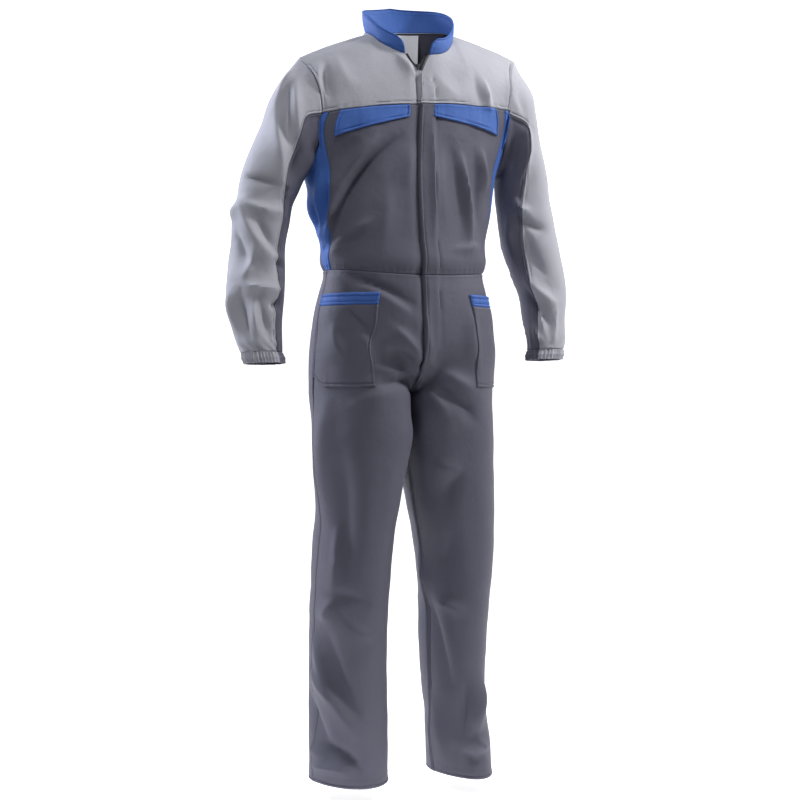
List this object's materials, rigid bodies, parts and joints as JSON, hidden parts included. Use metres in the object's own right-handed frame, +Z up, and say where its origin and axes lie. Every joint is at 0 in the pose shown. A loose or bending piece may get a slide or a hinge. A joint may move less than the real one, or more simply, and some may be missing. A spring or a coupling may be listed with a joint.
{
  "type": "boiler suit",
  "caption": "Worker's boiler suit with stand collar, zip front, contrast yoke, chest flaps and side panels, elastic cuffs and straight legs, in its worn shape.",
  "frame": {"origin": "middle of the neck base on the shoulder line, where the wearer holds the garment up", "axes": "+X towards the wearer's left, -Y to the front, +Z up"},
  "size_m": [0.7592, 0.2566, 1.595],
  "materials": {
    "light_cloth": "light grey cotton twill, matt",
    "dark_cloth": "dark grey cotton twill, matt",
    "blue_cloth": "blue cotton twill, matt",
    "label_cloth": "white woven label, bare",
    "zip_tape": "black woven zip tape",
    "zip_metal": "dark metal, satin"
  },
  "bodies": {
    "suit": {"yoke_front_right": "light_cloth", "sleeve_upper_right": "light_cloth", "cuff_upper_right": "light_cloth", "front_right": "dark_cloth", "sleeve_under_right": "dark_cloth", "cuff_under_right": "dark_cloth", "trouser_front_right": "dark_cloth", "trouser_back_right": "dark_cloth", "hip_pocket_right": "dark_cloth", "facing_right": "dark_cloth", "chest_flap_right": "blue_cloth", "side_panel_right": "blue_cloth", "pocket_band_right": "blue_cloth", "zip_tape_right": "zip_tape", "yoke_front_left": "light_cloth", "sleeve_upper_left": "light_cloth", "cuff_upper_left": "light_cloth", "front_left": "dark_cloth", "sleeve_under_left": "dark_cloth", "cuff_under_left": "dark_cloth", "trouser_front_left": "dark_cloth", "trouser_back_left": "dark_cloth", "hip_pocket_left": "dark_cloth", "facing_left": "dark_cloth", "chest_flap_left": "blue_cloth", "side_panel_left": "blue_cloth", "pocket_band_left": "blue_cloth", "zip_tape_left": "zip_tape", "yoke_back": "light_cloth", "back": "dark_cloth", "collar": "blue_cloth", "neck_label": "label_cloth", "zip_slider": "zip_metal"},
    "zip_pull": {"zip_pull_tab": "zip_metal"}
  },
  "joints": [
    {"name": "zip_pull_hinge", "type": "hinge", "parent": "suit", "child": "zip_pull", "pos_m": [-0.0085, -0.0915, -0.0791], "axis": [-1, 0, 0], "range_deg": [0, 150]}
  ]
}
